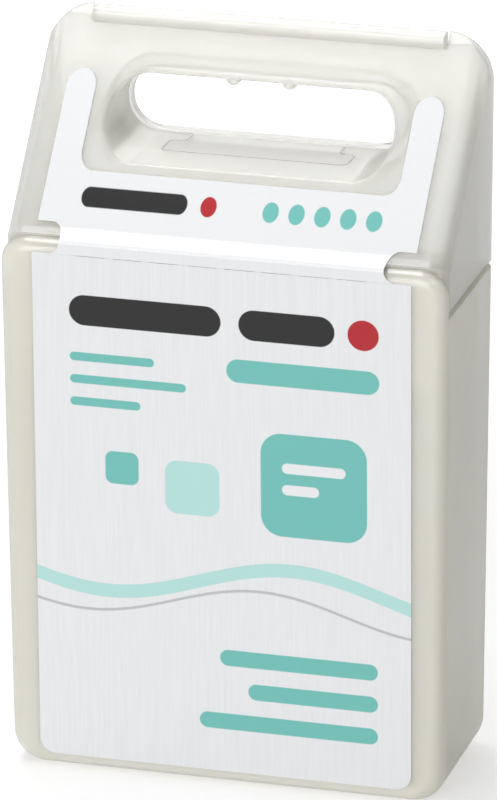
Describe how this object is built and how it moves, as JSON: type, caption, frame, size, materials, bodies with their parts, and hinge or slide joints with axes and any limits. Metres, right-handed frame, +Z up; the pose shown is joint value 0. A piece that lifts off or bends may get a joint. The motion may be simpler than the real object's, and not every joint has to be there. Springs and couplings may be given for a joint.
{
  "type": "dental floss dispenser",
  "caption": "Upright moulded floss box with a film label, a wedge-shaped hang-slot lid on a living hinge, and an insert that carries a turning spool, a thread eyelet and a steel cutter.",
  "frame": {"origin": "centre of the bounding box's bottom face, on the plane that the box stands on", "axes": "+Z up; -Y out of the labelled front; +X to the right of someone who faces the label"},
  "size_m": [0.0506, 0.0208, 0.083],
  "materials": {
    "milky_plastic": "milky natural polypropylene, semi-gloss",
    "label_film": "white printed film, glossy",
    "insert_plastic": "white moulded plastic, satin",
    "cutter_steel": "bright stainless strip",
    "floss": "waxed white thread"
  },
  "bodies": {
    "case": {"case_body": "milky_plastic", "case_label": "label_film", "insert_frame": "insert_plastic", "cutter_blade": "cutter_steel", "lid_hinge_web": "milky_plastic"},
    "lid": {"lid_front_shell": "milky_plastic", "lid_back_plate": "milky_plastic", "ridge_hinge_bead": "milky_plastic", "lid_label": "label_film"},
    "spool": {"spool_core": "insert_plastic", "floss_roll": "floss"}
  },
  "joints": [
    {"name": "lid_hinge", "type": "hinge", "parent": "case", "child": "lid", "pos_m": [0, 0.0104, 0.0569], "axis": [-1, 0, 0], "range_deg": [0, 150], "deforming": ["lid_hinge_web"]},
    {"name": "spool_spin", "type": "hinge", "parent": "case", "child": "spool", "pos_m": [0, 0, 0.02345], "axis": [0, 1, 0], "continuous": true}
  ]
}
